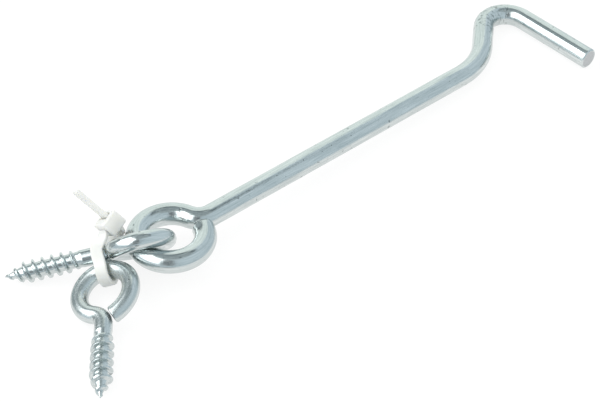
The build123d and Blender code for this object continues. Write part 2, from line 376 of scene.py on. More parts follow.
def screw_skin_group():
    """Rolled wood-screw thread along +X, from the wire's own size to a gimlet point. Its rows follow
    the thread."""
    inputs = [
        ("Start", "Float"), ("Reach", "Float"), ("Wire Radius", "Float"), ("Crest Radius", "Float"),
        ("Root Radius", "Float"), ("Pitch", "Float"), ("Thread Start", "Float"), ("Ramp", "Float"),
        ("Land", "Float"), ("Floor", "Float"), ("Point Length", "Float"), ("Turn", "Float"),
        ("Rows Per Turn", "Float"), ("Sides", "Int"), ("Along Start", "Float"),
    ]
    nodes, given, result = new_tree("screw_skin", "GeometryNodeTree", inputs, [("Skin", "Geometry")])
    pitch = given["Pitch"]
    spacing = nodes.math("DIVIDE", pitch, given["Rows Per Turn"])
    wanted = nodes.math("ADD", nodes.math("SUBTRACT", given["Reach"], given["Start"]), pitch)
    steps = nodes.math("CEIL", nodes.math("DIVIDE", wanted, spacing))
    total = nodes.math("MULTIPLY", steps, spacing)
    rows = nodes.math("ADD", steps, 1)
    first = nodes.math("SUBTRACT", given["Start"], pitch)
    mesh, thread_line, angle = grid(nodes, total, rows, given["Sides"], first)
    turn_share = nodes.math("DIVIDE", nodes.math("ADD", angle, math.pi), math.tau)
    along = nodes.math("ADD", thread_line, nodes.math("MULTIPLY", turn_share, pitch))
    along = nodes.limit(along, given["Start"], given["Reach"])
    ramp_end = nodes.math("ADD", given["Thread Start"], given["Ramp"])
    full = nodes.ramp(along, given["Thread Start"], ramp_end, given["Wire Radius"], given["Crest Radius"])
    to_point = nodes.math("DIVIDE", nodes.math("SUBTRACT", given["Reach"], along), given["Point Length"])
    to_point = nodes.limit(to_point, 0.0, 1.0)
    crest_share = nodes.math("POWER", to_point, CREST_TAPER)
    crest_point = nodes.math("MULTIPLY", given["Crest Radius"], crest_share)
    crest = nodes.math("MINIMUM", full, crest_point)
    half_pitch = nodes.math("MULTIPLY", pitch, 0.5)
    core_start = nodes.math("SUBTRACT", given["Thread Start"], half_pitch)
    core_end = nodes.math("ADD", given["Thread Start"], half_pitch)
    core = nodes.ramp(along, core_start, core_end, given["Wire Radius"], given["Root Radius"])
    core = nodes.math("MULTIPLY", core, nodes.math("POWER", to_point, CORE_TAPER))
    crest = nodes.math("MAXIMUM", crest, core)
    turned_line = nodes.math("ADD", thread_line, nodes.math("MULTIPLY", given["Turn"], pitch))
    from_groove = nodes.math("PINGPONG", turned_line, half_pitch)
    floor_edge = nodes.math("MULTIPLY", given["Floor"], 0.5)
    land_edge = nodes.math("MULTIPLY", nodes.math("SUBTRACT", pitch, given["Land"]), 0.5)
    wall = nodes.ramp(from_groove, floor_edge, land_edge, ease="SMOOTHSTEP")
    rise = nodes.math("MULTIPLY", nodes.math("SUBTRACT", crest, core), wall)
    reach = nodes.math("ADD", core, rise)
    across = nodes.math("MULTIPLY", nodes.math("COSINE", angle), reach)
    above = nodes.math("MULTIPLY", nodes.math("SINE", angle), reach)
    place = nodes.join_xyz(along, across, above)
    wire_along = nodes.math("ADD", nodes.math("SUBTRACT", along, given["Start"]), given["Along Start"])
    skin = nodes.store(mesh, "wire_place", nodes.join_xyz(wire_along, across, above), "FLOAT_VECTOR")
    skin = nodes.store(skin, "cut_face", 0.0, "FLOAT")
    skin = nodes.add("GeometryNodeSetPosition", {"Geometry": skin, "Position": place}).outputs[0]
    nodes.feed(result.inputs["Skin"], skin)
    return nodes.tree


def hook_tree(wire_skin):
    """The hook: one bare wire with two cut ends."""
    inputs = [
        ("Geometry", "Geometry"), ("Wire Radius", "Float"), ("Row Length", "Float"), ("Sides", "Int"),
        ("Cut Round", "Float"), ("Waviness", "Float"), ("Wave Length", "Float"), ("Material", "Material"),
    ]
    nodes, given, result = new_tree("bent_hook", "GeometryNodeTree", inputs, [("Geometry", "Geometry")])
    skin = nodes.add("GeometryNodeGroup", node_tree=wire_skin)
    nodes.feed(skin.inputs["Path"], given["Geometry"])
    for name in ("Wire Radius", "Row Length", "Sides", "Cut Round", "Waviness", "Wave Length"):
        nodes.feed(skin.inputs[name], given[name])
    nodes.feed(skin.inputs["End Cap"], 1.0)
    nodes.feed(result.inputs["Geometry"], closed_skin(nodes, skin.outputs["Skin"], given["Material"]))
    return nodes.tree


def screw_eye_tree(wire_skin, screw_skin):
    """A screw eye: wire from its cut end round the ring to the shank, then the thread from there on."""
    wire_names = ("Row Length", "Cut Round", "Waviness", "Wave Length")
    screw_names = (
        "Start", "Reach", "Crest Radius", "Root Radius", "Pitch", "Thread Start", "Ramp",
        "Land", "Floor", "Point Length", "Turn", "Rows Per Turn",
    )
    inputs = [("Geometry", "Geometry"), ("Wire Radius", "Float"), ("Sides", "Int")]
    inputs += [(name, "Float") for name in wire_names + screw_names]
    inputs += [("Material", "Material")]
    nodes, given, result = new_tree("screw_eye", "GeometryNodeTree", inputs, [("Geometry", "Geometry")])
    wire = nodes.add("GeometryNodeGroup", node_tree=wire_skin)
    screw = nodes.add("GeometryNodeGroup", node_tree=screw_skin)
    nodes.feed(wire.inputs["Path"], given["Geometry"])
    nodes.feed(wire.inputs["End Cap"], 0.0)
    for group, names in ((wire, wire_names), (screw, screw_names)):
        for name in names + ("Wire Radius", "Sides"):
            nodes.feed(group.inputs[name], given[name])
    curve = nodes.add("GeometryNodeMeshToCurve", {"Mesh": given["Geometry"]}).outputs[0]
    length = nodes.add("GeometryNodeCurveLength", {"Curve": curve}).outputs[0]
    nodes.feed(screw.inputs["Along Start"], length)
    join = nodes.add("GeometryNodeJoinGeometry")
    nodes.tree.links.new(wire.outputs["Skin"], join.inputs[0])
    nodes.tree.links.new(screw.outputs["Skin"], join.inputs[0])
    nodes.feed(result.inputs["Geometry"], closed_skin(nodes, join.outputs[0], given["Material"]))
    return nodes.tree


def strap_tree():
    """Flat nylon strap along a path whose points say which way it is broad, with teeth on one face."""
    inputs = [
        ("Geometry", "Geometry"), ("Width", "Float"), ("Thickness", "Float"), ("Corner", "Float"),
        ("Row Length", "Float"), ("Sides", "Int"), ("Tooth Pitch", "Float"), ("Tooth Depth", "Float"),
        ("Tooth Band", "Float"), ("Material", "Material"),
    ]
    nodes, given, result = new_tree("toothed_strap", "GeometryNodeTree", inputs, [("Geometry", "Geometry")])
    curve = nodes.add("GeometryNodeMeshToCurve", {"Mesh": given["Geometry"]}).outputs[0]
    length = nodes.add("GeometryNodeCurveLength", {"Curve": curve}).outputs[0]
    cap = nodes.math("MULTIPLY", given["Thickness"], 0.5)
    total = nodes.math("ADD", length, nodes.math("MULTIPLY", cap, 2.0))
    rows = nodes.math("CEIL", nodes.math("DIVIDE", total, given["Row Length"]))
    mesh, along, angle = grid(nodes, total, rows, given["Sides"], nodes.math("MULTIPLY", cap, -1.0))
    on_strap = nodes.limit(along, 0.0, length)
    past_start = nodes.math("MULTIPLY", along, -1.0)
    past_end = nodes.math("SUBTRACT", along, length)
    past = nodes.math("MAXIMUM", past_start, past_end)
    to_end = nodes.limit(nodes.math("DIVIDE", past, cap), 0.0, 1.0)
    inside = nodes.math("SUBTRACT", 1.0, to_end)
    size = {"Width": given["Width"], "Height": given["Thickness"]}
    outline = nodes.add("GeometryNodeCurvePrimitiveQuadrilateral", size).outputs[0]
    corner = {"Curve": outline, "Radius": given["Corner"], "Count": CORNER_POINTS}
    outline = nodes.add("GeometryNodeFilletCurve", corner, mode="POLY").outputs[0]
    round_share = nodes.math("DIVIDE", nodes.math("ADD", angle, math.pi), math.tau)
    round_share = nodes.limit(round_share, 0.0, LAST_PLACE_ROUND)
    values = {"Curves": outline, "Factor": round_share}
    section = nodes.add("GeometryNodeSampleCurve", values, mode="FACTOR")
    section = nodes.add("ShaderNodeSeparateXYZ", {"Vector": section.outputs["Position"]})
    across, out = section.outputs["X"], section.outputs["Y"]
    in_band = nodes.math("LESS_THAN", nodes.math("ABSOLUTE", across), given["Tooth Band"])
    face_from = nodes.math("MULTIPLY", given["Thickness"], INNER_FACE_SHARE)
    inner_face = nodes.math("GREATER_THAN", out, face_from)
    tooth = nodes.math("FRACT", nodes.math("DIVIDE", along, given["Tooth Pitch"]))
    toothed = nodes.math("MULTIPLY", in_band, inner_face)
    depth = nodes.math("MULTIPLY", tooth, given["Tooth Depth"])
    out = nodes.math("SUBTRACT", out, nodes.math("MULTIPLY", toothed, depth))
    broad = nodes.add("GeometryNodeInputNamedAttribute", {"Name": "broad"}, data_type="FLOAT_VECTOR")
    values = {"Curves": curve, "Length": on_strap}
    sample = nodes.add("GeometryNodeSampleCurve", values, mode="LENGTH", data_type="FLOAT_VECTOR")
    nodes.feed(sample.inputs["Value"], broad.outputs[0])
    tangent = sample.outputs["Tangent"]
    face = nodes.vector("NORMALIZE", nodes.vector("CROSS_PRODUCT", tangent, sample.outputs["Value"]))
    broad_side = nodes.vector("NORMALIZE", nodes.vector("CROSS_PRODUCT", face, tangent))
    offset = nodes.vector("ADD", nodes.scaled(broad_side, across), nodes.scaled(face, out))
    place = nodes.vector("ADD", sample.outputs["Position"], nodes.scaled(offset, inside))
    skin = nodes.store(mesh, "strap_place", nodes.join_xyz(along, across, out), "FLOAT_VECTOR")
    skin = nodes.add("GeometryNodeSetPosition", {"Geometry": skin, "Position": place}).outputs[0]
    nodes.feed(result.inputs["Geometry"], closed_skin(nodes, skin, given["Material"]))
    return nodes.tree


def bent_path(start, heading, steps):
    """Points of a flat wire path: each step is a straight length or a (radius, turn in degrees) bend."""
    x, y = start
    direction = math.atan2(heading[1], heading[0])
    points = [Vector((x, y, 0.0))]
    for step in steps:
        radius, turn = step if isinstance(step, tuple) else (None, 0.0)
        length = step if radius is None else radius * abs(math.radians(turn))
        count = max(2, math.ceil(length / POINT_SPACING))
        for i in range(count):
            direction += math.radians(turn) / count / 2
            chord = length / count
            if radius is not None:
                chord = 2 * radius * math.sin(abs(math.radians(turn)) / count / 2)
            x += chord * math.cos(direction)
            y += chord * math.sin(direction)
            direction += math.radians(turn) / count / 2
            points.append(Vector((x, y, 0.0)))
    return points


def on_circle(centre, radius, angle):
    """Point at an angle on a circle in the ring's plane."""
    turn = math.radians(angle)
    return (centre[0] + radius * math.cos(turn), centre[1] + radius * math.sin(turn))


def along_circle(angle, sense):
    """Heading of a walk round a circle: sense is 1 for anticlockwise, -1 for clockwise."""
    turn = math.radians(angle)
    return (-sense * math.sin(turn), sense * math.cos(turn))


def neck_numbers(ring, bend):
    """Where the neck bend ends on the shank's line, and its angle on the ring."""
    end = math.sqrt(ring**2 + 2 * ring * bend)
    return end, math.degrees(math.atan2(bend, end))


def ring_end_angle(wire_radius, ring):
    """Angle at which a ring's cut end stops beside its own neck."""
    return math.degrees(math.asin((wire_radius + CUT_END_GAP) / (ring + wire_radius)))


def hook_path():
    """Hook's centreline: clockwise round the ring, out along the rod, over the crank to the tip."""
    neck_end, neck_angle = neck_numbers(HOOK_RING, HOOK_NECK_BEND)
    end_angle = ring_end_angle(HOOK_WIRE / 2, HOOK_RING)
    steps = [
        (HOOK_RING, end_angle + neck_angle - 360),
        (HOOK_NECK_BEND, 90 - neck_angle),
        ROD_LENGTH - neck_end,
        (CRANK_BEND, CRANK_ANGLE),
        CRANK_STRAIGHT,
        (TIP_BEND, -TIP_ANGLE),
        TIP_STRAIGHT,
    ]
    return bent_path(on_circle((0, 0), HOOK_RING, -end_angle), along_circle(-end_angle, -1), steps)


def eye_path(is_open, screw_start):
    """Screw eye's centreline, anticlockwise from its cut end to where the threaded end takes over."""
    neck_end, neck_angle = neck_numbers(EYE_RING, EYE_NECK_BEND)
    steps = [(EYE_NECK_BEND, neck_angle - 90), screw_start - neck_end]
    if not is_open:
        end_angle = ring_end_angle(EYE_WIRE / 2, EYE_RING)
        ring = [(EYE_RING, 360 - neck_angle - end_angle)]
        start = on_circle((0, 0), EYE_RING, end_angle)
        return bent_path(start, along_circle(end_angle, 1), ring + steps)
    spread_ring = EYE_RING + OPENING_SPREAD
    spread_centre = on_circle((0, 0), -OPENING_SPREAD, OPENING_START)
    ring = [(spread_ring, OPENING_START - OPENING_END), (EYE_RING, 360 - neck_angle - OPENING_START)]
    start = on_circle(spread_centre, spread_ring, OPENING_END)
    return bent_path(start, along_circle(OPENING_END, 1), ring + steps)


def path_mesh(name, points):
    """Mesh of one open line through the points."""
    mesh = bpy.data.meshes.new(name)
    mesh.from_pydata([tuple(p) for p in points], [(i, i + 1) for i in range(len(points) - 1)], [])
    return mesh


def grown(name, line, tree, values):
    """Plain mesh that a node tree grows from a line, in millimetres."""
    host = bpy.data.objects.new(name, line)
    bpy.context.scene.collection.objects.link(host)
    modifier = host.modifiers.new(tree.name, "NODES")
    modifier.node_group = tree
    for item in tree.interface.items_tree:
        if item.item_type == "SOCKET" and item.in_out == "INPUT" and item.name in values:
            modifier[item.identifier] = values[item.name]
    bpy.context.view_layer.update()
    evaluated = host.evaluated_get(bpy.context.evaluated_depsgraph_get())
    mesh = bpy.data.meshes.new_from_object(evaluated)
    mesh.name = name
    bpy.data.objects.remove(host)
    return mesh


def outward(mesh):
    """Recalculates the faces of a closed mesh to point outwards."""
    shape = bmesh.new()
    shape.from_mesh(mesh)
    bmesh.ops.recalc_face_normals(shape, faces=shape.faces)
    shape.to_mesh(mesh)
    shape.free()


def placed(mesh, place, body, node):
    """Puts a finished mesh in its place, in metres, as the piece that stands for a CAD node."""
    mesh.transform(place @ Matrix.Scale(MM, 4))
    outward(mesh)
    piece = bpy.data.objects.new(mesh.name, mesh)
    bpy.context.scene.collection.objects.link(piece)
    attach(piece, body)
    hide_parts(node)


def matrix_of(origin, x_axis, z_axis):
    """Place from an origin, the X direction, and a Z direction that is made square to it."""
    x = Vector(x_axis).normalized()
    z = (Vector(z_axis) - x * Vector(z_axis).dot(x)).normalized()
    y = z.cross(x)
    columns = Matrix((x, y, z)).transposed().to_4x4()
    return Matrix.Translation(origin) @ columns


def hook_place():
    """Hook's place from its joint: the ring's centre, with the ring's own axis as Z."""
    joint = frame["joints"][0]
    x, _, z = joint["axis"]
    return matrix_of(joint["pos_m"], (z, 0.0, -x), joint["axis"])


def eye_place(mount_name, lean):
    """Screw eye's place from its screw mount, which is on the shank, a set distance from the ring's
    centre."""
    mount = next(m for m in frame["record"]["mounts"] if m["name"] == mount_name)
    axis = Vector(mount["axis"])
    centre = Vector(mount["pos_m"]) - axis * SCREW_MOUNT_ALONG * MM
    yaw = math.atan2(axis.y, axis.x)
    dip = math.asin(-axis.z)
    heading = Matrix.Rotation(yaw, 3, "Z") @ Matrix.Rotation(dip, 3, "Y")
    turn = heading @ Matrix.Rotation(math.radians(lean), 3, "X")
    return matrix_of(centre, turn.col[0], turn.col[2])


def strap_stations(pivot, catch):
    """Tie's way in the closed eye's frame: points and broad directions, from the head's root round the
    shank and the open eye's wire, back up, through the head's window and out along the tail."""
    along = STRAP_ALONG_SHANK
    crossing = along - STRAP_LEAN
    between = pivot.inverted() @ catch
    step = 360 / RING_PLACES
    flat_ring = [Vector((*on_circle((0, 0), EYE_RING * MM, i * step), 0)) for i in range(RING_PLACES)]
    ring = [between @ point / MM for point in flat_ring]
    crossed = Vector((crossing, 0, 0))
    near = [i for i, point in enumerate(ring) if (point - crossed).length < EYE_RING]
    nearest = min(near, key=lambda i: abs(ring[i].x - crossing))
    wire = ring[nearest]
    heading = (ring[(nearest + 1) % RING_PLACES] - ring[nearest - 1]).normalized()
    heading = heading if heading.x > 0 else -heading
    shank = Vector((along, 0, 0))
    shank_axis = Vector((1, 0, 0))
    downward = (wire - shank).normalized()
    stand = EYE_WIRE / 2 + STRAP_GAP + STRAP_THICKNESS / 2

    def about(centre, axis, angle, slack):
        """Point of the strap's bend round a wire, at an angle from its front."""
        side = (downward - axis * downward.dot(axis)).normalized()
        front = axis.cross(side).normalized()
        turn = math.radians(angle)
        return centre + (front * math.cos(turn) + side * math.sin(turn)) * (stand + slack)

    def beside_shank(back, up, out):
        """Point beside the shank, by how many strap stands it is back, up and out from its middle."""
        return Vector((along - back * stand, up * stand, out * stand))

    slot, across, root = head_directions()
    broad = -across
    root_face = Vector(HEAD_PLACE) + root * (HEAD_HEIGHT / 2)
    window = window_centre()
    half_depth = HEAD_DEPTH / 2
    way = [
        (root_face - root * STRAP_BITE, broad),
        (root_face + root * STRAP_BITE, broad),
        (beside_shank(0.6, 0.9, 1.1), Vector((0.85, -0.45, 0.25))),
        (about(shank, shank_axis, 0, 0), shank_axis),
    ]
    for angle in range(0, 181, STRAP_WRAP_STEP):
        way.append((about(wire, heading, angle, STRAP_SLACK), heading))
    way += [
        (about(shank, shank_axis, 180, STRAP_SLACK), shank_axis),
        (about(shank, shank_axis, 180 + STRAP_WRAP_STEP, 2 * STRAP_SLACK), shank_axis),
        (beside_shank(0.6, -1.2, 1.1), Vector((0.85, -0.3, 0.3))),
        (beside_shank(1.25, -1.06, 1.4), Vector((0.75, -0.5, 0.25))),
        (beside_shank(1.65, -0.68, 1.5), Vector((0.6, -0.75, 0.25))),
        (window - slot * (half_depth + STRAP_BITE), broad),
        (window, broad),
        (window + slot * (half_depth + STRAP_BITE), broad),
        (window + slot * (half_depth + TAIL_LENGTH), broad),
    ]
    return way


def head_directions():
    """Directions of the tie's head: out along its window, across it, and towards the strap's root."""
    slot = Vector(SLOT_HEADING).normalized()
    normal = slot.cross(Vector(ACROSS_HEADING)).normalized()
    return slot, normal.cross(slot), -normal


def window_centre():
    """Middle of the head's window, which is off the head's own middle on the side away from the root."""
    return Vector(HEAD_PLACE) - head_directions()[2] * WINDOW_OFFSET


def strap_line(name, way):
    """Smooth line through the strap's stations, with the broad direction kept at each point."""
    count = len(way)
    points, broads = [], []
    for i in range(count - 1):
        before, a, b, after = (way[min(max(k, 0), count - 1)] for k in (i - 1, i, i + 1, i + 2))
        length = (b[0] - a[0]).length
        lead = (b[0] - before[0]).normalized() * length / 3
        trail = (after[0] - a[0]).normalized() * length / 3
        steps = max(2, math.ceil(length / POINT_SPACING * 2))
        for k in range(steps if i < count - 2 else steps + 1):
            t = k / steps
            u = 1 - t
            first_half = a[0] * u**3 + (a[0] + lead) * 3 * u * u * t
            points.append(first_half + (b[0] - trail) * 3 * u * t * t + b[0] * t**3)
            broads.append(a[1].normalized() * u + b[1].normalized() * t)
    mesh = path_mesh(name, points)
    values = mesh.attributes.new("broad", "FLOAT_VECTOR", "POINT")
    for i, broad in enumerate(broads):
        values.data[i].vector = broad.normalized()
    return mesh


def tie_head(name, material):
    """Tie's head in the closed eye's frame: a rounded block with a window for the strap."""
    slot, across, root = head_directions()
    shape = bmesh.new()
    corners = ((-1, -1), (1, -1), (1, 1), (-1, 1))
    sizes = ((HEAD_WIDTH, HEAD_HEIGHT, 0.0), (WINDOW_WIDTH, WINDOW_HEIGHT, WINDOW_OFFSET))
    loops = []
    for end in (-HEAD_DEPTH / 2, HEAD_DEPTH / 2):
        for width, height, rise in sizes:
            places = [(end, x * width / 2, y * height / 2 + rise) for x, y in corners]
            loops.append([shape.verts.new(place) for place in places])
    outer_back, inner_back, outer_front, inner_front = loops
    for i in range(4):
        k = (i + 1) % 4
        shape.faces.new((outer_back[i], outer_back[k], outer_front[k], outer_front[i]))
        shape.faces.new((inner_back[k], inner_back[i], inner_front[i], inner_front[k]))
        shape.faces.new((outer_back[k], outer_back[i], inner_back[i], inner_back[k]))
        shape.faces.new((outer_front[i], outer_front[k], inner_front[k], inner_front[i]))
    outer_corners = set(outer_back + outer_front)
    outer = [edge for edge in shape.edges if outer_corners.issuperset(edge.verts)]
    inner = [edge for edge in shape.edges if outer_corners.isdisjoint(edge.verts)]
    for edges, offset, segments in (
        (outer, HEAD_ROUND, HEAD_ROUND_STEPS),
        (inner, WINDOW_ROUND, WINDOW_ROUND_STEPS),
    ):
        edges = [edge for edge in edges if edge.is_valid]
        bmesh.ops.bevel(shape, geom=edges, offset=offset, segments=segments, profile=0.5, affect="EDGES")
    bmesh.ops.recalc_face_normals(shape, faces=shape.faces)
    for face in shape.faces:
        face.smooth = True
    mesh = bpy.data.meshes.new(name)
    shape.to_mesh(mesh)
    shape.free()
    mesh.materials.append(material)
    columns = Matrix((slot, across, -root)).transposed().to_4x4()
    mesh.transform(Matrix.Translation(Vector(HEAD_PLACE)) @ columns)
    return mesh


def joined(name, meshes):
    """One mesh of several, with their materials."""
    hosts = []
    for mesh in meshes:
        host = bpy.data.objects.new(mesh.name, mesh)
        bpy.context.scene.collection.objects.link(host)
        hosts.append(host)
    with bpy.context.temp_override(active_object=hosts[0], selected_editable_objects=hosts):
        bpy.ops.object.join()
    mesh = hosts[0].data
    bpy.data.objects.remove(hosts[0])
    mesh.name = name
    return mesh


def drawn_wire_group():
    """Marks of drawn and plated wire: streaks along it, mottled plate, scuffs, pits and tool marks."""
    inputs = [
        ("Place", "Vector"), ("Streak Width", "Float"), ("Streak Length", "Float"),
        ("Mottle Size", "Float"), ("Seed", "Float"), ("Worked Start", "Float"), ("Worked End", "Float"),
    ]
    outputs = [
        ("Streak", "Float"), ("Mottle", "Float"), ("Scuff", "Float"), ("Pit", "Float"), ("Relief", "Float")
    ]
    nodes, given, result = new_tree("drawn_wire", "ShaderNodeTree", inputs, outputs)
    shift = nodes.join_xyz(given["Seed"], 0.0, 0.0)
    place = nodes.vector("ADD", given["Place"], shift)
    along = nodes.math("DIVIDE", 1.0, given["Streak Length"])
    across = nodes.math("DIVIDE", 1.0, given["Streak Width"])
    stretched = nodes.vector("MULTIPLY", place, nodes.join_xyz(along, across, across))
    fine = nodes.noise(stretched, 1.0, *FINE_STREAK_NOISE)
    broadened = nodes.vector("MULTIPLY", stretched, BROAD_STREAK_STRETCH)
    broad = nodes.noise(broadened, 1.0, *BROAD_STREAK_NOISE)
    fine_part = nodes.math("MULTIPLY", fine, FINE_STREAK_SHARE)
    streak = nodes.math("ADD", fine_part, nodes.math("MULTIPLY", broad, 1.0 - FINE_STREAK_SHARE))
    mottle_scale = nodes.math("DIVIDE", 1.0, given["Mottle Size"])
    mottle_place = nodes.vector("MULTIPLY", place, MOTTLE_STRETCH)
    mottle = nodes.noise(mottle_place, mottle_scale, *MOTTLE_NOISE)

    def blots(stretch, scale, detail, roughness, onset):
        """Mask of the places where a stretched noise is past its onset."""
        noise = nodes.noise(nodes.vector("MULTIPLY", place, stretch), scale, detail, roughness)
        return nodes.ramp(noise, *onset)

    scuff = blots(*SCUFFS)
    wire_along = nodes.add("ShaderNodeSeparateXYZ", {"Vector": given["Place"]}).outputs["X"]
    after = nodes.math("GREATER_THAN", wire_along, given["Worked Start"])
    before = nodes.math("LESS_THAN", wire_along, given["Worked End"])
    worked = nodes.math("MULTIPLY", after, before)
    tool_mark = nodes.math("MULTIPLY", worked, blots(*TOOL_MARKS))
    pit = nodes.math("MAXIMUM", blots(*PITS), tool_mark)
    raised, dappled, sunk = (nodes.math("MULTIPLY", mark, RELIEF_PART) for mark in (streak, mottle, pit))
    relief = nodes.math("SUBTRACT", nodes.math("ADD", raised, dappled), sunk)
    marks = (("Streak", streak), ("Mottle", mottle), ("Scuff", scuff), ("Pit", pit), ("Relief", relief))
    for name, value in marks:
        nodes.feed(result.inputs[name], value)
    return nodes.tree


def new_material(name):
    """Empty material; gives it, its node helper and its Principled shader."""
    material = bpy.data.materials.new(name)
    material.use_nodes = True
    material.node_tree.nodes.clear()
    nodes = Tree(material.node_tree)
    shader = nodes.add("ShaderNodeBsdfPrincipled")
    output = nodes.add("ShaderNodeOutputMaterial")
    nodes.tree.links.new(shader.outputs[0], output.inputs["Surface"])
    return material, nodes, shader


def mixed(nodes, share, first, second):
    """Colour between two, by a share."""
    mix = nodes.add("ShaderNodeMix", data_type="RGBA")
    nodes.feed(mix.inputs["Factor"], share)
    for name, colour in (("A_Color", first), ("B_Color", second)):
        socket = next(s for s in mix.inputs if s.identifier == name)
        nodes.feed(socket, colour)
    return next(s for s in mix.outputs if s.identifier == "Result_Color")


def zinc(name, drawn_wire, seed, streak_width, bump, gloss, worked=(0.0, 0.0)):
    """Bright zinc plate on drawn wire, with a duller sheared face at a cut end and tool marks in the
    worked stretch of the wire."""
    material, nodes, shader = new_material(name)
    place = nodes.add("ShaderNodeAttribute", attribute_name="wire_place").outputs["Vector"]
    cut = nodes.add("ShaderNodeAttribute", attribute_name="cut_face").outputs["Fac"]
    marks = nodes.add("ShaderNodeGroup", node_tree=drawn_wire)
    values = {
        "Place": place, "Streak Width": streak_width, "Streak Length": STREAK_LENGTH,
        "Mottle Size": MOTTLE_SIZE, "Seed": seed, "Worked Start": worked[0], "Worked End": worked[1],
    }
    for label, value in values.items():
        nodes.feed(marks.inputs[label], value)
    tone = nodes.ramp(marks.outputs["Streak"], *STREAK_RANGE)
    colour = mixed(nodes, tone, ZINC_SHADE, ZINC_BRIGHT)
    scuff = nodes.math("MULTIPLY", marks.outputs["Scuff"], SCUFF_STRENGTH)
    colour = mixed(nodes, scuff, colour, ZINC_SCUFF)
    pit = nodes.math("MULTIPLY", marks.outputs["Pit"], PIT_STRENGTH)
    colour = mixed(nodes, pit, colour, ZINC_PIT)
    colour = mixed(nodes, cut, colour, ZINC_CUT)
    roughness = nodes.ramp(marks.outputs["Mottle"], *MOTTLE_RANGE, *gloss)
    roughness = nodes.math("ADD", roughness, nodes.math("MULTIPLY", cut, CUT_DULLNESS))
    nodes.feed(shader.inputs["Base Color"], colour)
    nodes.feed(shader.inputs["Roughness"], roughness)
    shader.inputs["Metallic"].default_value = 1.0
    values = {"Height": marks.outputs["Relief"], "Distance": bump * MM, "Strength": 1.0}
    relief = nodes.add("ShaderNodeBump", values)
    nodes.feed(shader.inputs["Normal"], relief.outputs[0])
    return material


def nylon(name):
    """Natural nylon: pale, a little cloudy, light passes into it."""
    material, nodes, shader = new_material(name)
    place = nodes.add("ShaderNodeTexCoord").outputs["Object"]
    cloud = nodes.noise(place, NYLON_CLOUD_SCALE, *NYLON_CLOUD_NOISE)
    colour = mixed(nodes, nodes.ramp(cloud, *NYLON_CLOUD_RANGE), NYLON_SHADE, NYLON_PALE)
    nodes.feed(shader.inputs["Base Color"], colour)
    nodes.feed(shader.inputs["Roughness"], nodes.ramp(cloud, *NYLON_GLOSS_RANGE, *NYLON_GLOSS))
    shader.inputs["Subsurface Weight"].default_value = NYLON_LIGHT_SHARE
    shader.inputs["Subsurface Radius"].default_value = NYLON_LIGHT_TINT
    shader.inputs["Subsurface Scale"].default_value = NYLON_LIGHT_DEPTH * MM
    grain = nodes.noise(place, NYLON_GRAIN_SCALE, 2.0)
    relief = nodes.add("ShaderNodeBump", {"Height": grain, "Distance": NYLON_GRAIN_DEPTH * MM})
    nodes.feed(shader.inputs["Normal"], relief.outputs[0])
    return material


def worked_stretch(points):
    """Where the tool marks of the tip's bend start and end, as lengths along the hook's wire."""
    length = sum((b - a).length for a, b in zip(points, points[1:]))
    bend_end = length - TIP_STRAIGHT
    bend_start = bend_end - TIP_BEND * math.radians(TIP_ANGLE)
    return bend_start - TOOL_MARKS_BEFORE_BEND, bend_end - TOOL_MARKS_SHORT_OF_BEND_END


def side_softbox():
    """Square soft light that faces the part's middle."""
    data = bpy.data.lights.new("side_softbox", "AREA")
    data.shape = "SQUARE"
    data.size = LAMP_SIDE
    data.energy = LAMP_WATTS
    lamp = bpy.data.objects.new("side_softbox", data)
    bpy.context.scene.collection.objects.link(lamp)
    lamp.location = LAMP_PLACE
    lamp.rotation_mode = "QUATERNION"
    lamp.rotation_quaternion = (-Vector(LAMP_PLACE)).to_track_quat("-Z", "Y")


def seen_rays(nodes):
    """1 for a ray that the camera, a gloss or clear glass sends, and 0 for light itself."""
    path = nodes.add("ShaderNodeLightPath").outputs
    seen = nodes.math("MAXIMUM", path["Is Camera Ray"], path["Is Glossy Ray"])
    return nodes.math("MAXIMUM", seen, path["Is Transmission Ray"])


def grey(level):
    """Neutral colour."""
    return (level, level, level, 1.0)


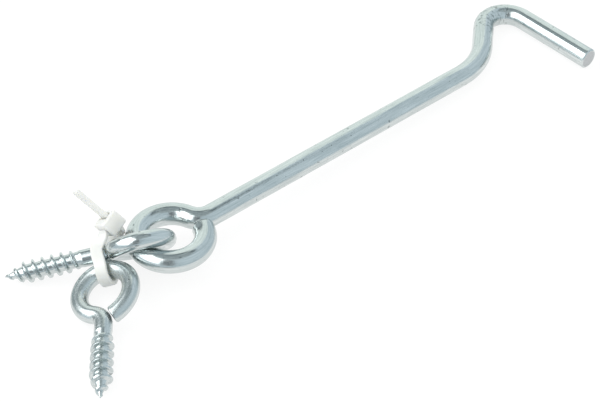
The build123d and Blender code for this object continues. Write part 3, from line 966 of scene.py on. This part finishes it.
def white_floor():
    """Pale floor that shows white where nothing shades it, and has a sheen where metal mirrors it at a
    low angle."""
    mesh = bpy.data.meshes.new("floor")
    corners = [(x * FLOOR_HALF, y * FLOOR_HALF, 0) for x, y in ((-1, -1), (1, -1), (1, 1), (-1, 1))]
    mesh.from_pydata(corners, [], [(0, 1, 2, 3)])
    floor = bpy.data.objects.new("floor", mesh)
    bpy.context.scene.collection.objects.link(floor)
    material = bpy.data.materials.new("white_floor")
    material.use_nodes = True
    material.node_tree.nodes.clear()
    nodes = Tree(material.node_tree)
    lit = nodes.add("ShaderNodeBsdfDiffuse", {"Color": grey(FLOOR_LIT_SHARE)})
    bounce = nodes.add("ShaderNodeBsdfDiffuse", {"Color": grey(FLOOR_BOUNCE)})
    glow = nodes.add("ShaderNodeEmission", {"Color": WHITE, "Strength": FLOOR_GLOW})
    shown = nodes.add("ShaderNodeAddShader")
    nodes.tree.links.new(lit.outputs[0], shown.inputs[0])
    nodes.tree.links.new(glow.outputs[0], shown.inputs[1])
    values = {"Color": grey(FLOOR_SHEEN), "Roughness": FLOOR_SHEEN_ROUGHNESS}
    sheen = nodes.add("ShaderNodeBsdfGlossy", values)
    facing = nodes.add("ShaderNodeLayerWeight").outputs["Facing"]
    grazing = nodes.ramp(facing, *FLOOR_SHEEN_FACING, ease="SMOOTHSTEP")
    gloss = nodes.add("ShaderNodeLightPath").outputs["Is Glossy Ray"]
    glazed = nodes.add("ShaderNodeMixShader")
    nodes.feed(glazed.inputs[0], nodes.math("MULTIPLY", grazing, gloss))
    nodes.tree.links.new(shown.outputs[0], glazed.inputs[1])
    nodes.tree.links.new(sheen.outputs[0], glazed.inputs[2])
    choice = nodes.add("ShaderNodeMixShader")
    nodes.feed(choice.inputs[0], seen_rays(nodes))
    nodes.tree.links.new(bounce.outputs[0], choice.inputs[1])
    nodes.tree.links.new(glazed.outputs[0], choice.inputs[2])
    output = nodes.add("ShaderNodeOutputMaterial")
    nodes.tree.links.new(choice.outputs[0], output.inputs["Surface"])
    mesh.materials.append(material)


def soft_panel_group():
    """Mask of a soft-edged panel, seen from the origin in a direction given as compass angle and height."""
    inputs = [
        ("Direction", "Vector"), ("Compass", "Float"), ("Height", "Float"),
        ("Half Width", "Float"), ("Half Height", "Float"), ("Softness", "Float"),
    ]
    nodes, given, result = new_tree("soft_panel", "ShaderNodeTree", inputs, [("Mask", "Float")])
    direction = nodes.add("ShaderNodeSeparateXYZ", {"Vector": given["Direction"]}).outputs
    compass = nodes.math("ARCTAN2", direction["Y"], direction["X"])
    height = nodes.math("ARCSINE", direction["Z"])
    degree = math.radians(1)
    aside = nodes.math("SUBTRACT", compass, nodes.math("MULTIPLY", given["Compass"], degree))
    aside = nodes.math("ABSOLUTE", nodes.math("WRAP", aside, -math.pi, math.pi))
    above = nodes.math("SUBTRACT", height, nodes.math("MULTIPLY", given["Height"], degree))
    above = nodes.math("ABSOLUTE", above)
    soft = nodes.math("MULTIPLY", given["Softness"], degree)
    masks = []
    for distance, half in ((aside, given["Half Width"]), (above, given["Half Height"])):
        edge = nodes.math("MULTIPLY", half, degree)
        outer = nodes.math("ADD", edge, soft)
        inner = nodes.math("SUBTRACT", edge, soft)
        masks.append(nodes.ramp(distance, outer, inner, ease="SMOOTHSTEP"))
    nodes.feed(result.inputs["Mask"], nodes.math("MULTIPLY", masks[0], masks[1]))
    return nodes.tree


def with_panel(nodes, panel_tree, direction, shown, colour, panel):
    """Surroundings with one more soft-edged panel in front of them."""
    compass, height, half_width, half_height, softness = panel
    mask = nodes.add("ShaderNodeGroup", node_tree=panel_tree)
    values = {
        "Direction": direction, "Compass": compass, "Height": height,
        "Half Width": half_width, "Half Height": half_height, "Softness": softness,
    }
    for label, value in values.items():
        nodes.feed(mask.inputs[label], value)
    return mixed(nodes, mask.outputs["Mask"], shown, colour)


def with_ceiling(nodes, direction, shown, ceiling):
    """Surroundings with the ceiling over them, and its dark rim on the backdrop's side."""
    top = math.radians(CEILING_EDGE_HEIGHT)
    compass = math.radians(CEILING_EDGE_COMPASS)
    upward = (-math.sin(top) * math.cos(compass), -math.sin(top) * math.sin(compass), math.cos(top))
    rim_compass = math.radians(CEILING_RIM_COMPASS)
    ahead = (math.cos(rim_compass), math.sin(rim_compass), 0.0)
    past_edge, to_side = (
        nodes.add("ShaderNodeVectorMath", {0: direction, 1: way}, operation="DOT_PRODUCT").outputs["Value"]
        for way in (upward, ahead)
    )
    rim_side = nodes.ramp(to_side, 0.0, RIM_SIDE_SOFTNESS)
    rim = nodes.math("MULTIPLY", nodes.ramp(past_edge, 0.0, CEILING_SOFTNESS), rim_side)
    shown = mixed(nodes, rim, shown, CEILING_RIM)
    height = nodes.add("ShaderNodeSeparateXYZ", {"Vector": direction}).outputs["Z"]
    overhead = nodes.ramp(height, math.sin(top) - OVERHEAD_SOFTNESS, math.sin(top) + OVERHEAD_SOFTNESS)
    rim_end = nodes.ramp(past_edge, CEILING_RIM_WIDTH, CEILING_RIM_WIDTH + CEILING_SOFTNESS * 2)
    covered = nodes.math("MULTIPLY", rim_end, nodes.math("MAXIMUM", rim_side, overhead))
    return mixed(nodes, covered, shown, ceiling)


def studio_world():
    """Room as the metal shows it: blue-grey, with a darker ceiling, a white backdrop at the far side, a
    big softbox at the left and the dark place of the camera. The camera sees white, and every other ray
    gets plain room light."""
    world = bpy.data.worlds.new("studio")
    bpy.context.scene.world = world
    world.use_nodes = True
    world.node_tree.nodes.clear()
    nodes = Tree(world.node_tree)
    path = nodes.add("ShaderNodeLightPath").outputs
    direction = nodes.add("ShaderNodeTexCoord").outputs["Generated"]
    clutter = nodes.ramp(nodes.noise(direction, CLUTTER_SCALE, *CLUTTER_NOISE), *CLUTTER_RANGE)
    ceiling = mixed(nodes, clutter, CEILING_DARK, CEILING_LIGHT)
    camera_side = mixed(nodes, clutter, CAMERA_DARK, CAMERA_LIGHT)
    panel_tree = soft_panel_group()
    shown = with_panel(nodes, panel_tree, direction, ROOM_WALL, BACKDROP, BACKDROP_PANEL)
    shown = with_panel(nodes, panel_tree, direction, shown, camera_side, CAMERA_PANEL)
    shown = with_ceiling(nodes, direction, shown, ceiling)
    shown = with_panel(nodes, panel_tree, direction, shown, SOFTBOX, SOFTBOX_PANEL)
    colour = mixed(nodes, path["Is Glossy Ray"], ROOM_LIGHT, shown)
    colour = mixed(nodes, path["Is Camera Ray"], colour, WHITE)
    background = nodes.add("ShaderNodeBackground", {"Color": colour, "Strength": 1.0})
    output = nodes.add("ShaderNodeOutputWorld")
    nodes.tree.links.new(background.outputs[0], output.inputs["Surface"])


def photo_camera():
    """Camera at the photograph's place."""
    azimuth, elevation = math.radians(CAMERA_AZIMUTH), math.radians(CAMERA_ELEVATION)
    level = math.cos(elevation)
    back = Vector((math.sin(azimuth) * level, -math.cos(azimuth) * level, math.sin(elevation)))
    right = Vector((math.cos(azimuth), math.sin(azimuth), 0.0))
    upright = Matrix((right, back.cross(right), back)).transposed()
    turned = upright @ Matrix.Rotation(math.radians(CAMERA_ROLL), 3, "Z")
    ring_centre = Vector(frame["joints"][0]["pos_m"])
    data = bpy.data.cameras.new("photo_camera")
    data.lens = LENS
    data.sensor_width = SENSOR
    data.sensor_fit = "HORIZONTAL"
    data.clip_start = CLIP_START
    camera = bpy.data.objects.new("photo_camera", data)
    bpy.context.scene.collection.objects.link(camera)
    camera.matrix_world = Matrix.Translation(ring_centre + Vector(CAMERA_FROM_RING) * MM) @ turned.to_4x4()
    bpy.context.scene.camera = camera


# Materials
drawn_wire = drawn_wire_group()
hook_points = hook_path()
hook_zinc = zinc(
    "hook_zinc", drawn_wire, seed=0.0, streak_width=0.35, bump=0.035, gloss=SMOOTH_PLATE,
    worked=worked_stretch(hook_points),
)
closed_eye_zinc = zinc(
    "closed_eye_zinc", drawn_wire, seed=40.0, streak_width=0.3, bump=0.025, gloss=SMOOTH_PLATE
)
open_eye_zinc = zinc("open_eye_zinc", drawn_wire, seed=80.0, streak_width=0.3, bump=0.03, gloss=SATIN_PLATE)
tie_nylon = nylon("tie_nylon")

# Node trees, and the sizes they are given
wire_skin = wire_skin_group()
hook_wire_tree = hook_tree(wire_skin)
eye_wire_tree = screw_eye_tree(wire_skin, screw_skin_group())
nylon_strap_tree = strap_tree()

hook_values = {
    "Wire Radius": HOOK_WIRE / 2,
    "Row Length": ROW_LENGTH,
    "Sides": HOOK_SIDES,
    "Cut Round": CUT_END_ROUND,
    "Waviness": WAVINESS,
    "Wave Length": WAVE_LENGTH,
    "Material": hook_zinc,
}
eye_values = {
    "Wire Radius": EYE_WIRE / 2,
    "Row Length": ROW_LENGTH,
    "Sides": EYE_SIDES,
    "Cut Round": CUT_END_ROUND,
    "Waviness": 0.0,
    "Wave Length": WAVE_LENGTH,
    "Crest Radius": THREAD_CREST / 2,
    "Root Radius": THREAD_ROOT / 2,
    "Pitch": THREAD_PITCH,
    "Ramp": THREAD_RAMP,
    "Land": CREST_LAND,
    "Floor": GROOVE_FLOOR,
    "Point Length": POINT_LENGTH,
    "Rows Per Turn": ROWS_PER_TURN,
}
strap_values = {
    "Width": STRAP_WIDTH,
    "Thickness": STRAP_THICKNESS,
    "Corner": STRAP_CORNER,
    "Row Length": STRAP_ROW,
    "Sides": STRAP_SIDES,
    "Tooth Pitch": TOOTH_PITCH,
    "Tooth Depth": TOOTH_DEPTH,
    "Tooth Band": TOOTH_BAND,
    "Material": tie_nylon,
}

# Pieces
pivot_place = eye_place("pivot_screw", PIVOT_LEAN)
catch_place = eye_place("catch_screw", CATCH_LEAN)
hook_mesh = grown("gate_hook", path_mesh("hook_line", hook_points), hook_wire_tree, hook_values)
placed(hook_mesh, hook_place(), "hook", "hook")
closed_screw = (CLOSED_THREAD_START, CLOSED_EYE_REACH)
open_screw = (OPEN_THREAD_START, OPEN_EYE_REACH)
eyes = (
    ("closed_screw_eye", "pivot_eye", pivot_place, False, closed_screw, closed_eye_zinc),
    ("open_screw_eye", "catch_eye", catch_place, True, open_screw, open_eye_zinc),
)
for name, node, place, is_open, (thread_start, reach), material in eyes:
    screw_start = thread_start - THREAD_PITCH / 2
    # The groove is straight above the shank where it is its lead past the thread's start
    turn = ABOVE_SHARE - (thread_start + GROOVE_LEAD) / THREAD_PITCH
    own = {
        "Start": screw_start, "Thread Start": thread_start, "Reach": reach, "Turn": turn,
        "Material": material,
    }
    line = path_mesh(node + "_line", eye_path(is_open, screw_start))
    placed(grown(name, line, eye_wire_tree, eye_values | own), place, "eyes", node)
line = strap_line("strap_line", strap_stations(pivot_place, catch_place))
strap_mesh = grown("tie_strap", line, nylon_strap_tree, strap_values)
tie_mesh = joined("nylon_tie", [strap_mesh, tie_head("tie_head", tie_nylon)])
placed(tie_mesh, pivot_place, "eyes", "cable_tie")

# Room and camera
white_floor()
studio_world()
side_softbox()
photo_camera()
bpy.context.scene.view_settings.view_transform = "Standard"
